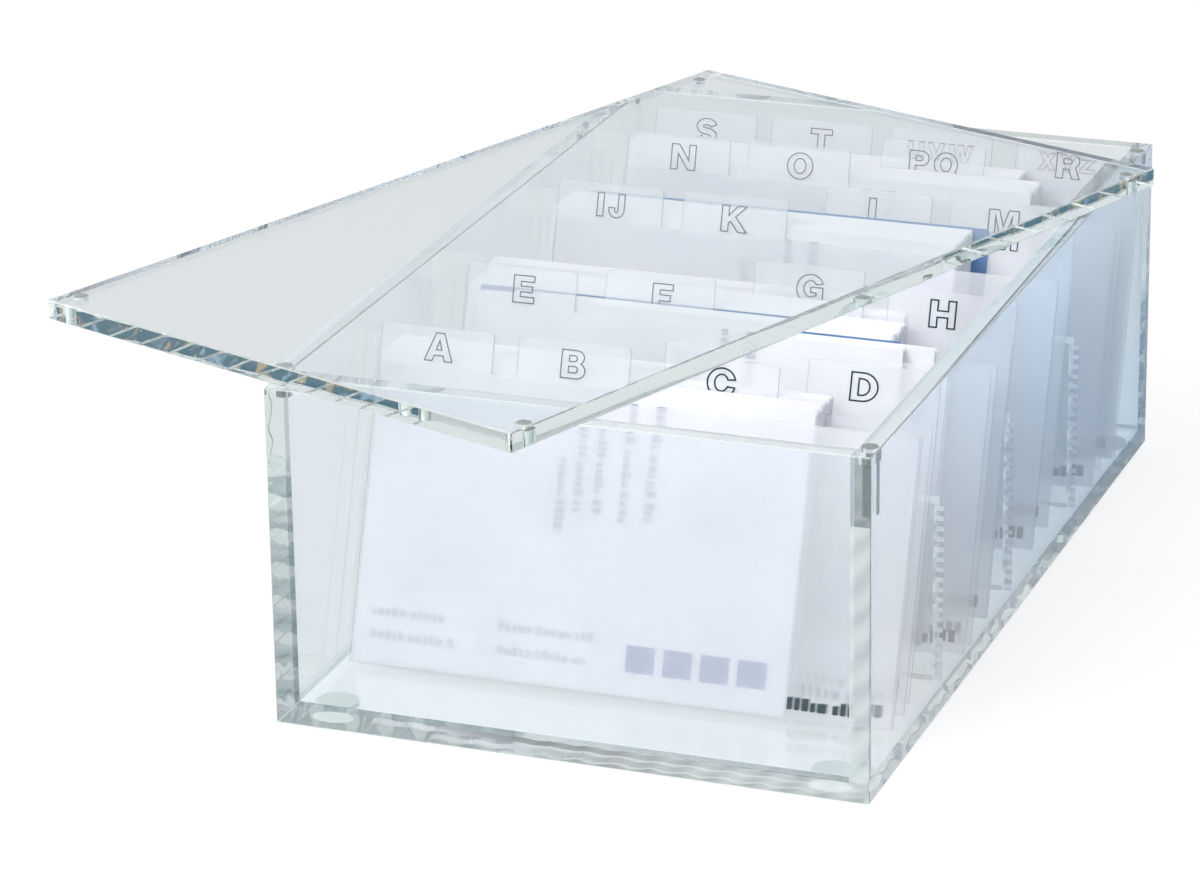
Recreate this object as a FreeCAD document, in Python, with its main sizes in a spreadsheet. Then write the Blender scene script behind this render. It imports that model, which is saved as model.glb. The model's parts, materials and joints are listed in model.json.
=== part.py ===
import FreeCAD, Part
import math
import os
import Sketcher
from FreeCAD import Placement, Rotation, Vector

# Index card box of clear acrylic plates with a loose lid held by small disc magnets.
# Three low partitions make four compartments. In each one, frosted index dividers and packs
# of cards stand on the floor and lean back on the partition, or the rear wall, behind them.
# Lengths are millimetres and angles are degrees. X is the width, Y runs from front to rear,
# Z is up, and the origin is under the middle of the box, on the surface that it stands on.

SIZES = {
    # box of cemented plates
    "box_width": 114.0,
    "box_length": 193.0,
    "box_height": 65.3,
    "acrylic_thickness": 3.8,
    "edge_ease": 0.25,
    "partition_thickness": 3.8,
    "partition_height": 35.0,
    "partition_end_gap": 2.2,
    # foot pads
    "foot_diameter": 8.0,
    "foot_height": 1.0,
    "foot_round": 0.4,
    "foot_inset": 9.0,
    # magnets
    "magnet_diameter": 3.0,
    "magnet_length": 2.5,
    "magnet_fit": 0.05,
    "magnet_end_distance": 5.5,
    # loose lid, lying turned on the rim
    "lid_overhang": 0.7,
    "lid_seat_gap": 0.1,
    "lid_turned": 20.1,
    "lid_aside": 23.1,
    "lid_forward": 3.1,
    # index dividers
    "film_thickness": 0.3,
    "divider_side_gap": 2.0,
    "divider_lid_clearance": 0.55,
    "tab_height": 7.8,
    "tab_width": 22.0,
    "tab_pitch": 26.5,
    "tab_corner": 0.9,
    "tab_root": 0.9,
    # cards
    "card_width": 85.0,
    "card_height": 55.0,
    "card_thickness": 0.28,
    "card_air": 0.05,
    # how the sheets stand
    "floor_gap": 0.15,
    "sheet_gap": 0.15,
    "rest_gap": 0.15,
    "loose_room": 1.3,
    "front_lean": 18.5,
    "second_lean": 17.5,
    "third_lean": 18.0,
    "rear_lean": 16.0,
}

INNER_WIDTH = "(Sizes.box_width - 2 * Sizes.acrylic_thickness)"
INNER_LENGTH = "(Sizes.box_length - 2 * Sizes.acrylic_thickness)"
WALL_HEIGHT = "(Sizes.box_height - Sizes.acrylic_thickness)"
FLOOR_LEVEL = "(Sizes.foot_height + Sizes.acrylic_thickness)"
RIM_LEVEL = "(Sizes.foot_height + Sizes.box_height)"
SHEET_LEVEL = f"({FLOOR_LEVEL} + Sizes.floor_gap)"
DIVIDER_WIDTH = f"({INNER_WIDTH} - 2 * Sizes.divider_side_gap)"
DIVIDER_HEIGHT = f"({WALL_HEIGHT} - Sizes.floor_gap - Sizes.divider_lid_clearance)"
DIVIDER_SHOULDER = f"({DIVIDER_HEIGHT} - Sizes.tab_height)"
MAGNET_AWAY_X = "(Sizes.box_width - Sizes.acrylic_thickness) / 2"
MAGNET_AWAY_Y = "(Sizes.box_length / 2 - Sizes.magnet_end_distance)"
TAB_COLUMNS = 4
COMPARTMENTS = 4
EPSILON = 0.001

# What stands in each compartment, from front to rear. A divider gives its tab column, and a pack
# its number of cards. "share" is where the piece stands between the side walls: 0 is against
# the left wall and 1 is against the right one. "slack" is loose room behind the piece.
FRONT_GROUP = [
    {"name": "divider_a", "column": 0, "share": 0.35},
    {"name": "divider_b", "column": 1, "share": 0.425},
    {"name": "cards_b", "count": 16, "share": 0.075},
    {"name": "divider_c", "column": 2, "share": 0.45},
    {"name": "cards_c", "count": 11, "share": 0.07, "slack": "Sizes.loose_room"},
    {"name": "divider_d", "column": 3, "share": 0.25},
]
SECOND_GROUP = [
    {"name": "divider_e", "column": 0, "share": 0.98},
    {"name": "cards_e", "count": 5, "share": 0.304},
    {"name": "cards_e_aside", "count": 5, "share": 0.593},
    {"name": "divider_f", "column": 1, "share": 0.975},
    {"name": "blue_card_f", "count": 1, "share": 0.248},
    {"name": "cards_f", "count": 32, "share": 0.13, "slack": "Sizes.loose_room"},
    {"name": "divider_g", "column": 2, "share": 0.725},
    {"name": "divider_h", "column": 3, "share": 0.775},
    {"name": "cards_h", "count": 9, "share": 0.065},
]
THIRD_GROUP = [
    {"name": "divider_ij", "column": 0, "share": 0.425},
    {"name": "divider_k", "column": 1, "share": 0.36},
    {"name": "cards_k", "count": 31, "share": 0.037},
    {"name": "blue_card_k", "count": 1, "share": 0.182},
    {"name": "divider_l", "column": 2, "share": 0.325},
    {"name": "divider_m", "column": 3, "share": 0.19},
]
REAR_GROUP = [
    {"name": "divider_n", "column": 0, "share": 0.98},
    {"name": "divider_o", "column": 1, "share": 0.825},
    {"name": "cards_o", "count": 26, "share": 0.276},
    {"name": "divider_pq", "column": 2, "share": 0.7},
    {"name": "cards_pq", "count": 18, "share": 0.028},
    {"name": "divider_r", "column": 3, "share": 0.85},
    {"name": "divider_s", "column": 0, "share": 0.975},
    {"name": "divider_t", "column": 1, "share": 0.66},
    {"name": "divider_uvw", "column": 2, "share": 0.5},
    {"name": "divider_xyz", "column": 3, "share": 0.65},
]
GROUPS = [
    ("front_lean", FRONT_GROUP),
    ("second_lean", SECOND_GROUP),
    ("third_lean", THIRD_GROUP),
    ("rear_lean", REAR_GROUP),
]

doc = FreeCAD.newDocument("index_card_box")
parts = []


def make_sheet():
    """Write every driving size into its own cell of the spreadsheet."""
    sheet = doc.addObject("Spreadsheet::Sheet", "Sizes")
    for row, (alias, value) in enumerate(SIZES.items(), start=1):
        sheet.set(f"A{row}", alias)
        sheet.set(f"B{row}", str(value))
        sheet.setAlias(f"B{row}", alias)
    doc.recompute()


def new_body(name, separate_solids=False):
    """Start a sub-part. Its label names its node."""
    body = doc.addObject("PartDesign::Body", name)
    body.Label = name
    body.AllowCompound = separate_solids
    parts.append(body)
    return body


def place(body, x="0", y="0", z="0"):
    """Bind the sub-part's place to the sizes."""
    body.setExpression("Placement.Base.x", x)
    body.setExpression("Placement.Base.y", y)
    body.setExpression("Placement.Base.z", z)


def turn(body, axis, angle):
    """Turn the sub-part about an axis through its own origin by an angle from the sizes."""
    body.Placement = Placement(Vector(), Rotation(axis, 1.0))
    body.setExpression("Placement.Rotation.Angle", angle)


def new_sketch(body, name, plane, level="0"):
    """Attach a sketch to one of the body's own planes, lifted by level along its normal."""
    sketch = body.newObject("Sketcher::SketchObject", name)
    support = [item for item in body.Origin.OriginFeatures if item.Role == plane][0]
    sketch.AttachmentSupport = [(support, "")]
    sketch.MapMode = "FlatFace"
    sketch.setExpression("AttachmentOffset.Base.z", level)
    return sketch


def bind(sketch, kind, *references, value):
    """Add a dimension to the sketch and bind it to the sizes."""
    index = sketch.addConstraint(Sketcher.Constraint(kind, *references, 1.0))
    sketch.setExpression(f"Constraints[{index}]", value)


def polygon_sketch(body, name, plane, corners):
    """Closed outline through corners given as pairs of expressions, each corner dimensioned."""
    sketch = new_sketch(body, name, plane)
    numbers = [(sketch.evalExpression(across), sketch.evalExpression(up)) for across, up in corners]
    points = [Vector(float(across), float(up), 0) for across, up in numbers]
    count = len(points)
    for index, point in enumerate(points):
        sketch.addGeometry(Part.LineSegment(point, points[(index + 1) % count]), False)
    for index in range(count):
        sketch.addConstraint(Sketcher.Constraint("Coincident", index, 2, (index + 1) % count, 1))
    for index, (across, up) in enumerate(corners):
        bind_coordinate(sketch, index, "DistanceX", -2, across)
        bind_coordinate(sketch, index, "DistanceY", -1, up)
    return sketch


def bind_coordinate(sketch, line, kind, axis, value):
    """Dimension a line's start from the origin, or put it on the axis where the value is 0."""
    if value == "0":
        sketch.addConstraint(Sketcher.Constraint("PointOnObject", line, 1, axis))
    else:
        bind(sketch, kind, -1, 1, line, 1, value=value)


def circles_sketch(body, name, centres, radius, level="0"):
    """Equal circles on a level plane, their centres given as pairs of expressions."""
    sketch = new_sketch(body, name, "XY_Plane", level)
    for index, (across, along) in enumerate(centres):
        centre = Vector(float(sketch.evalExpression(across)), float(sketch.evalExpression(along)), 0)
        sketch.addGeometry(Part.Circle(centre, Vector(0, 0, 1), 1.0), False)
        bind(sketch, "DistanceX", -1, 1, index, 3, value=across)
        bind(sketch, "DistanceY", -1, 1, index, 3, value=along)
        bind(sketch, "Radius", index, value=radius)
    return sketch


def pad(body, name, sketch, length, reverse=False):
    """Raise a sketch into a solid."""
    feature = body.newObject("PartDesign::Pad", name)
    feature.Profile = sketch
    feature.Reversed = reverse
    feature.setExpression("Length", length)
    doc.recompute()
    return feature


def pocket(body, name, sketch, depth, reverse=False):
    """Sink a sketch into the solid, and stop if it has cut nothing."""
    before = body.Tip.Shape.Volume
    feature = body.newObject("PartDesign::Pocket", name)
    feature.Profile = sketch
    feature.Reversed = reverse
    feature.setExpression("Length", depth)
    doc.recompute()
    if feature.Shape.Volume > before - EPSILON:
        raise RuntimeError(f"{body.Label}: {name} cuts nothing")
    return feature


def dress_edges(body, kind, name, chosen, size_property, size):
    """Chamfer or fillet the edges that chosen picks by their middle and direction."""
    base = body.Tip
    names = []
    for index, edge in enumerate(base.Shape.Edges, start=1):
        middle = edge.CenterOfMass
        direction = edge.tangentAt(edge.FirstParameter)
        if chosen(middle, direction):
            names.append(f"Edge{index}")
    feature = body.newObject(f"PartDesign::{kind}", name)
    feature.Base = (base, names)
    feature.setExpression(size_property, size)
    doc.recompute()
    return feature


def centred_corners(width, depth):
    """Corners of a rectangle about the origin."""
    return [
        (f"-{width} / 2", f"-{depth} / 2"),
        (f"{width} / 2", f"-{depth} / 2"),
        (f"{width} / 2", f"{depth} / 2"),
        (f"-{width} / 2", f"{depth} / 2"),
    ]


def make_plate(name, width, depth, height):
    """Rectangular acrylic plate about its own middle, standing on its own zero level."""
    body = new_body(name)
    outline = polygon_sketch(body, f"{name}_outline", "XY_Plane", centred_corners(width, depth))
    pad(body, f"{name}_pad", outline, height)
    return body


def ease_edges(body, chosen):
    """Break the polished edges of a plate with a narrow bevel."""
    dress_edges(body, "Chamfer", f"{body.Label}_ease", chosen, "Size", "Sizes.edge_ease")


def near(value, target):
    return abs(value - target) < EPSILON


def make_bottom_plate():
    body = make_plate("bottom_plate", "Sizes.box_width", "Sizes.box_length", "Sizes.acrylic_thickness")
    thickness = SIZES["acrylic_thickness"]
    ease_edges(body, lambda middle, direction: not near(middle.z, thickness))
    place(body, z="Sizes.foot_height")


def make_end_walls():
    """Front and rear walls, fitted between the side walls."""
    top = SIZES["box_height"] - SIZES["acrylic_thickness"]
    for name, sign in (("front_wall", "-"), ("rear_wall", "")):
        body = make_plate(name, INNER_WIDTH, "Sizes.acrylic_thickness", WALL_HEIGHT)
        ease_edges(body, lambda middle, direction: near(middle.z, top) and near(middle.x, 0))
        distance = "(Sizes.box_length - Sizes.acrylic_thickness) / 2"
        place(body, y=f"{sign}{distance}", z=FLOOR_LEVEL)


def make_side_walls():
    """Full-length side walls, with a blind hole for a magnet at each end of the top edge."""
    top = SIZES["box_height"] - SIZES["acrylic_thickness"]
    half = SIZES["acrylic_thickness"] / 2
    for name, sign, outward in (("left_wall", "-", -1), ("right_wall", "", 1)):
        body = make_plate(name, "Sizes.acrylic_thickness", "Sizes.box_length", WALL_HEIGHT)

        def free_edge(middle, direction):
            upright_outer = near(abs(direction.z), 1) and near(middle.x, outward * half)
            return upright_outer or near(middle.z, top)

        ease_edges(body, free_edge)
        centres = [("0", f"-{MAGNET_AWAY_Y}"), ("0", MAGNET_AWAY_Y)]
        holes = magnet_circles(body, centres, "Sizes.magnet_diameter / 2 + Sizes.magnet_fit", WALL_HEIGHT)
        pocket(body, f"{name}_magnet_holes", holes, "Sizes.magnet_length")
        place(body, x=f"{sign}{MAGNET_AWAY_X}", z=FLOOR_LEVEL)


def magnet_circles(body, centres, radius, level="0"):
    return circles_sketch(body, f"{body.Label}_magnet_circles", centres, radius, level)


def four_corners(across, along):
    """A point in each quarter of the plan."""
    return [(f"{sx}{across}", f"{sy}{along}") for sx in ("-", "") for sy in ("-", "")]


def make_partitions():
    """Low plates cemented to the floor, at equal steps along the inside."""
    for index, name in enumerate(("front_partition", "middle_partition", "rear_partition")):
        width = f"({INNER_WIDTH} - 2 * Sizes.partition_end_gap)"
        body = make_plate(name, width, "Sizes.partition_thickness", "Sizes.partition_height")
        ease_edges(body, lambda middle, direction: middle.z > EPSILON)
        place(body, y=partition_middle(index), z=FLOOR_LEVEL)


def partition_middle(index):
    """Y of the middle of a partition, counted from the front."""
    return f"{INNER_LENGTH} * ({index + 1} / {COMPARTMENTS} - 0.5)"


def make_foot_pads():
    """Clear round pads under the corners of the bottom plate, rounded below."""
    body = new_body("foot_pads", separate_solids=True)
    away_x = "(Sizes.box_width / 2 - Sizes.foot_inset)"
    away_y = "(Sizes.box_length / 2 - Sizes.foot_inset)"
    circles = circles_sketch(body, "foot_circles", four_corners(away_x, away_y), "Sizes.foot_diameter / 2")
    pad(body, "foot_pad", circles, "Sizes.foot_height")

    def lower_rim(middle, direction):
        return near(middle.z, 0)

    dress_edges(body, "Fillet", "foot_rounding", lower_rim, "Radius", "Sizes.foot_round")
    place(body)


def make_magnets(name):
    """Four disc magnets, one in each quarter of the plan."""
    body = new_body(name, separate_solids=True)
    circles = magnet_circles(body, four_corners(MAGNET_AWAY_X, MAGNET_AWAY_Y), "Sizes.magnet_diameter / 2")
    pad(body, f"{name}_pad", circles, "Sizes.magnet_length")
    return body


def place_on_rim(body):
    """Put a piece of the lid where the lid lies: turned, aside and forward of the box."""
    turn(body, Vector(0, 0, -1), "Sizes.lid_turned")
    place(body, "-Sizes.lid_aside", "-Sizes.lid_forward", f"{RIM_LEVEL} + Sizes.lid_seat_gap")


def make_lid():
    """Plate a little larger than the box, with blind holes for the magnets in its underside."""
    width = "(Sizes.box_width + 2 * Sizes.lid_overhang)"
    length = "(Sizes.box_length + 2 * Sizes.lid_overhang)"
    body = make_plate("lid_plate", width, length, "Sizes.acrylic_thickness")
    ease_edges(body, lambda middle, direction: True)
    centres = four_corners(MAGNET_AWAY_X, MAGNET_AWAY_Y)
    holes = magnet_circles(body, centres, "Sizes.magnet_diameter / 2 + Sizes.magnet_fit")
    pocket(body, "lid_magnet_holes", holes, "Sizes.magnet_length", reverse=True)
    place_on_rim(body)
    place_on_rim(make_magnets("lid_magnets"))


def tab_ends(column):
    """Left and right ends of a tab, from the divider's left edge. The outer tabs end flush."""
    middle = f"({DIVIDER_WIDTH} / 2 + ({column} - {TAB_COLUMNS - 1} / 2) * Sizes.tab_pitch)"
    left = "0" if column == 0 else f"({middle} - Sizes.tab_width / 2)"
    right = DIVIDER_WIDTH if column == TAB_COLUMNS - 1 else f"({middle} + Sizes.tab_width / 2)"
    return left, right


def divider_corners(column):
    """Outline of a divider from its lower left corner, round by the right."""
    left, right = tab_ends(column)
    corners = [("0", "0"), (DIVIDER_WIDTH, "0")]
    if column < TAB_COLUMNS - 1:
        corners += [(DIVIDER_WIDTH, DIVIDER_SHOULDER), (right, DIVIDER_SHOULDER)]
    corners += [(right, DIVIDER_HEIGHT), (left, DIVIDER_HEIGHT)]
    if column > 0:
        corners += [(left, DIVIDER_SHOULDER), ("0", DIVIDER_SHOULDER)]
    return corners


def make_divider(name, column):
    """Sheet of frosted film with one rounded tab that grows out of its top edge by small roots."""
    body = new_body(name)
    outline = polygon_sketch(body, f"{name}_outline", "XZ_Plane", divider_corners(column))
    pad(body, f"{name}_pad", outline, "Sizes.film_thickness", reverse=True)
    width = float(body.evalExpression(DIVIDER_WIDTH))
    shoulder = float(body.evalExpression(DIVIDER_SHOULDER))

    def tab_root(middle, direction):
        across = EPSILON < middle.x < width - EPSILON
        return near(abs(direction.y), 1) and near(middle.z, shoulder) and across

    def outer_corner(middle, direction):
        upper = middle.z > shoulder - EPSILON
        return near(abs(direction.y), 1) and upper and not tab_root(middle, direction)

    dress_edges(body, "Fillet", f"{name}_corners", outer_corner, "Radius", "Sizes.tab_corner")
    dress_edges(body, "Fillet", f"{name}_roots", tab_root, "Radius", "Sizes.tab_root")
    return body


def make_pack(name, count, lean):
    """Pack of cards, each card standing on the floor by its own lower edge."""
    body = new_body(name, separate_solids=True)
    across = f"Sizes.card_thickness * cos({lean})"
    down = f"-Sizes.card_thickness * sin({lean})"
    back = f"Sizes.card_height * sin({lean})"
    top = f"Sizes.card_height * cos({lean})"
    corners = [("0", "0"), (across, down), (f"{across} + {back}", f"{down} + {top}"), (back, top)]
    section = polygon_sketch(body, f"{name}_section", "YZ_Plane", corners)
    card = pad(body, f"{name}_card", section, "Sizes.card_width")
    if count > 1:
        pattern = body.newObject("PartDesign::LinearPattern", f"{name}_cards")
        pattern.Originals = [card]
        rearward = [item for item in body.Origin.OriginFeatures if item.Role == "Y_Axis"][0]
        pattern.Direction = (rearward, [""])
        pattern.Occurrences = count
        step = f"(Sizes.card_thickness + Sizes.card_air) / cos({lean})"
        pattern.setExpression("Length", f"{count - 1} * {step}")
        body.Tip = pattern
        doc.recompute()
    return body


def rest_place(group, lean, piece):
    """Y of the lower front edge of a compartment's last piece, which leans on what is behind."""
    depth = sheet_depth(piece)
    if group < COMPARTMENTS - 1:
        behind = f"({partition_middle(group)} - Sizes.partition_thickness / 2 - Sizes.rest_gap)"
        rise = "(Sizes.partition_height - Sizes.floor_gap)"
        return f"{behind} - {depth} / cos({lean}) - {rise} * tan({lean})"
    behind = f"({INNER_LENGTH} / 2 - Sizes.rest_gap)"
    return f"{behind} - {depth} * cos({lean}) - {DIVIDER_HEIGHT} * sin({lean})"


def sheet_depth(piece):
    """Thickness of a divider or of a whole pack, square to its face."""
    if "column" in piece:
        return "Sizes.film_thickness"
    return f"{piece['count']} * (Sizes.card_thickness + Sizes.card_air)"


def make_sheets():
    """Dividers and packs of each compartment, placed one in front of another from the rear."""
    for group, (lean_name, pieces) in enumerate(GROUPS):
        lean = f"Sizes.{lean_name}"
        behind = None
        for piece in reversed(pieces):
            name = piece["name"]
            if behind is None:
                forward = rest_place(group, lean, piece)
            else:
                step = f"({sheet_depth(piece)} + Sizes.sheet_gap) / cos({lean})"
                forward = f"{behind}.Placement.Base.y / 1 mm - {step} - {piece.get('slack', '0')}"
            if "column" in piece:
                body = make_divider(name, piece["column"])
                turn(body, Vector(-1, 0, 0), lean)
                width = DIVIDER_WIDTH
            else:
                body = make_pack(name, piece["count"], lean)
                width = "Sizes.card_width"
            aside = f"-{INNER_WIDTH} / 2 + {piece['share']} * ({INNER_WIDTH} - {width})"
            place(body, aside, forward, SHEET_LEVEL)
            doc.recompute()
            behind = name


def check_document():
    """Stop if any object failed, or if a sub-part is empty or not a valid solid."""
    for item in doc.Objects:
        if "Invalid" in item.State or "Error" in item.State:
            raise RuntimeError(f"{item.Label}: {item.State}")
    for body in parts:
        if body.Shape.isNull() or not body.Shape.isValid() or not body.Shape.Solids:
            raise RuntimeError(f"{body.Label}: no valid solid")


def export_parts():
    os.makedirs("parts", exist_ok=True)
    for body in parts:
        body.Shape.exportStep(os.path.join("parts", f"{body.Label}.step"))
        box = body.Shape.BoundBox
        lowest = f"{box.XMin:.2f} {box.YMin:.2f} {box.ZMin:.2f}"
        highest = f"{box.XMax:.2f} {box.YMax:.2f} {box.ZMax:.2f}"
        print(f"{body.Label}: {len(body.Shape.Solids)} solids, {lowest} to {highest}")


make_sheet()
make_bottom_plate()
make_end_walls()
make_side_walls()
make_partitions()
make_foot_pads()
rim_magnets = make_magnets("rim_magnets")
place(rim_magnets, z=f"{RIM_LEVEL} - Sizes.magnet_length")
make_lid()
make_sheets()
doc.recompute()
check_document()
export_parts()
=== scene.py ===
# %% [markdown]
# # Index card box of clear acrylic, with a loose lid
#
# The box is cemented from polished acrylic sheet. Frosted index dividers and packs of business
# cards lean in its four compartments, and a flat lid lies turned on the rim. The CAD frame
# gives the place of everything, so the pieces here are built from its measures. Lengths are in
# metres, X is the width, Y runs from front to rear and Z is up.

# %% the frame and its measures
import json
import math
import random
import bmesh
import bpy
from mathutils import Matrix, Vector


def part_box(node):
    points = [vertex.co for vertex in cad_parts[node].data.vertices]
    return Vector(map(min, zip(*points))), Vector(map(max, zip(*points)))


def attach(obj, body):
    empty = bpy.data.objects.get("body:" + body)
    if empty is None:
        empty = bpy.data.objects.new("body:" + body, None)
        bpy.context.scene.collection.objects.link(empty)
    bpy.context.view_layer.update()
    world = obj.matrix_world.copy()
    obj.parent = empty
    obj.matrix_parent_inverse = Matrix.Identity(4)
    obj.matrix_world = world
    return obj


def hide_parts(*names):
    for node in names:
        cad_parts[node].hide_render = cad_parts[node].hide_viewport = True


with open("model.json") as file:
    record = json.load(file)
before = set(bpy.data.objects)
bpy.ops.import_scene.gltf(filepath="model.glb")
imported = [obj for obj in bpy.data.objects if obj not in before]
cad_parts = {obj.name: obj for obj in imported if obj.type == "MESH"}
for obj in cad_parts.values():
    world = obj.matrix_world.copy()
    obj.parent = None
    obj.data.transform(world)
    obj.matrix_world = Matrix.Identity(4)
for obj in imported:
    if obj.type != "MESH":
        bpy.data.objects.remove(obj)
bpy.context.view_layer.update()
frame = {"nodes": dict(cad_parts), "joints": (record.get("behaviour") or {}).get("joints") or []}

MM = 0.001
WALL = 3.8 * MM
EASE = 0.25 * MM
JOINTS = {joint["name"]: joint for joint in frame["joints"]}


def corners(name):
    """Lowest and highest corner of a CAD node."""
    return [Vector(corner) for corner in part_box(name)]


BOTTOM_LOW, BOTTOM_HIGH = corners("bottom_plate")
HALF_WIDTH = BOTTOM_HIGH.x
HALF_LENGTH = BOTTOM_HIGH.y
FLOOR = BOTTOM_HIGH.z
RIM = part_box("right_wall")[1][2]
print("outside", round(HALF_WIDTH * 2000, 1), "by", round(HALF_LENGTH * 2000, 1), "mm")
print("floor at", round(FLOOR * 1000, 2), "and rim at", round(RIM * 1000, 2), "mm")

# %% [markdown]
# ## Camera
#
# A product shot of this kind uses a long lens from some way off, so that upright edges stay
# nearly parallel. The lens could be guessed and the camera moved by hand, but the corners of a
# box of known size fix both, so place, turn and lens are plain values here.

# %% camera
LENS = 148.24
CAMERA_PLACE = (0.29364, -0.85451, 0.36566)
CAMERA_TURN = (69.6204, 0.8107, 20.3892)
bpy.ops.object.select_all(action="DESELECT")
scene = bpy.context.scene
camera_data = bpy.data.cameras.new("camera")
camera_data.sensor_width = 36.0
camera_data.lens = LENS
camera_data.clip_start = 0.05
camera = bpy.data.objects.new("camera", camera_data)
camera.location = CAMERA_PLACE
camera.rotation_euler = [math.radians(angle) for angle in CAMERA_TURN]
scene.collection.objects.link(camera)
scene.camera = camera
print("lens", LENS, "mm, camera at", [round(value, 3) for value in CAMERA_PLACE])

# %% [markdown]
# ## Shader helpers
#
# Every finish here is a small tree of shader nodes. The trees could be clicked together in the
# node editor. In a script, a few short helpers keep them readable: one adds a node and links
# its inputs, and the others wrap the nodes that come up again and again.

# %% shader helpers


def node(tree, kind, values=(), **settings):
    """Add a shader node. values maps sockets to numbers, colours or another node's output."""
    made = tree.nodes.new("ShaderNode" + kind)
    for key, value in settings.items():
        setattr(made, key, value)
    for key, value in dict(values).items():
        if isinstance(value, bpy.types.NodeSocket):
            tree.links.new(value, made.inputs[key])
        else:
            made.inputs[key].default_value = value
    return made


def maths(tree, operation, *values):
    """Result of one Math node."""
    return node(tree, "Math", dict(enumerate(values)), operation=operation).outputs[0]


def product(tree, first, *others):
    """Several values multiplied together."""
    for other in others:
        first = maths(tree, "MULTIPLY", first, other)
    return first


def span(tree, value, low, high, to_low=0.0, to_high=1.0):
    """A value's way from low to high, carried over to another range and kept inside it."""
    ends = {"From Min": low, "From Max": high, "To Min": to_low, "To Max": to_high}
    return node(tree, "MapRange", {"Value": value, **ends}).outputs[0]


def ramp(tree, factor, *stops):
    """Colour ramp through (position, colour) stops."""
    made = node(tree, "ValToRGB", {0: factor})
    elements = made.color_ramp.elements
    while len(elements) < len(stops):
        elements.new(0.5)
    for element, (position, colour) in zip(elements, stops):
        element.position = position
        element.color = (*colour, 1.0)
    return made.outputs[0]


def split(tree, vector):
    """The X, Y and Z outputs of a vector."""
    return node(tree, "SeparateXYZ", {0: vector}).outputs


def noise(tree, scale, detail=2.0):
    """Noise that stays with the object."""
    position = node(tree, "TexCoord").outputs["Object"]
    cloud = node(tree, "TexNoise", {"Vector": position, "Scale": scale, "Detail": detail})
    return cloud.outputs["Fac"]


def mix_colour(tree, share, first, second, blend="MIX"):
    """Mix of two colours."""
    return node(tree, "MixRGB", {0: share, 1: first, 2: second}, blend_type=blend).outputs[0]


def mix_shader(tree, share, first, second):
    """Mix of two shader nodes."""
    return node(tree, "MixShader", {0: share, 1: first.outputs[0], 2: second.outputs[0]})


def new_material(name):
    """Material with an empty node tree."""
    material = bpy.data.materials.new(name)
    material.use_nodes = True
    material.node_tree.nodes.clear()
    return material


def surface(tree, shader):
    """Send a shader node to the surface output."""
    node(tree, "OutputMaterial", {"Surface": shader.outputs[0]})


# %% [markdown]
# ## What a ray has been through
#
# Clear plastic shows whatever stands round it, so the table and the room need to know how a ray
# came to them. A second scene for reflections would do, but the Light Path node tells the same:
# whether the ray was mirrored or bent on its way, and through how many faces it has passed.

# %% ray helpers
# Number of faces passed at the far end of the painted shade.
DEEP = 32.0


def through_glass(tree):
    """1 for what the camera sees in a mirror or through clear plastic, and 0 for light."""
    path = node(tree, "LightPath").outputs
    bent = maths(tree, "MAXIMUM", path["Is Glossy Ray"], path["Is Transmission Ray"])
    return product(tree, bent, maths(tree, "LESS_THAN", path["Diffuse Depth"], 0.5))


def mirrored_only(tree):
    """1 for a ray that comes off a mirror face, and 0 for one bent through the plastic."""
    path = node(tree, "LightPath").outputs
    off = maths(tree, "SUBTRACT", path["Is Glossy Ray"], path["Is Transmission Ray"])
    return maths(tree, "MAXIMUM", off, 0.0)


def painted_far_shade(tree):
    """Painted shade: white, turning dim and blue for what is seen through many sheets."""
    depth = maths(tree, "DIVIDE", node(tree, "LightPath").outputs["Transmission Depth"], DEEP)
    return ramp(tree, depth, (0.28, (1.0, 1.0, 1.0)), (0.72, (0.42, 0.66, 0.95)))


# %% [markdown]
# ## Studio
#
# Clear plastic has no colour of its own: it shows the room. The room here has a white ceiling,
# dim walls and a pale grey backdrop behind the box. The dim walls draw the dark fields in the
# polished edges, and a little warm and cold clutter on them gives those fields their glints. A
# room could be built from meshes, but a world shader is lighter, and this one is seen only by
# mirrored and bent rays. As light, the world is soft and nearly white, and dim and blue from
# the lower right. Two soft lamps from the front light the cards.

# %% room
BACKDROP = (-0.301, 0.877, 0.375)
BACKDROP_GREY = (0.62, 0.64, 0.66, 1)
BLUE_SIDE = (0.80, 0.10, -0.60)
BOUNCES = 64
NOTHING = (0.0, 0.0, 0.0)
scene.view_settings.view_transform = "Standard"
scene.cycles.max_bounces = BOUNCES
scene.cycles.transmission_bounces = BOUNCES
scene.cycles.glossy_bounces = BOUNCES
scene.cycles.transparent_max_bounces = 24
world = bpy.data.worlds.new("studio")
scene.world = world
world.use_nodes = True
tree = world.node_tree
tree.nodes.clear()
direction = node(tree, "TexCoord").outputs["Generated"]
room = ramp(
    tree,
    split(tree, direction)["Z"],
    (0.45, (0.06, 0.16, 0.22)),
    (0.62, (0.40, 0.40, 0.40)),
    (0.80, (0.95, 0.96, 1.0)),
)
towards = node(tree, "VectorMath", {0: direction, 1: BACKDROP}, operation="DOT_PRODUCT")
pale = ramp(
    tree, towards.outputs["Value"], (0.60, NOTHING), (0.82, (0.40, 0.36, 0.30)), (0.92, (1, 1, 1))
)
clutter = node(
    tree, "TexNoise", {"Vector": direction, "Scale": 190.0, "Detail": 3.0, "Roughness": 0.65}
).outputs["Fac"]
warm = ramp(tree, clutter, (0.535, NOTHING), (0.585, (0.46, 0.39, 0.27)))
cold = ramp(tree, clutter, (0.33, (0.30, 0.46, 0.60)), (0.46, NOTHING))
glints = mix_colour(tree, 1.0, warm, cold, "LIGHTEN")
furnished = mix_colour(tree, 1.0, room, glints, "LIGHTEN")
view = mix_colour(tree, pale, furnished, BACKDROP_GREY)
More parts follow.
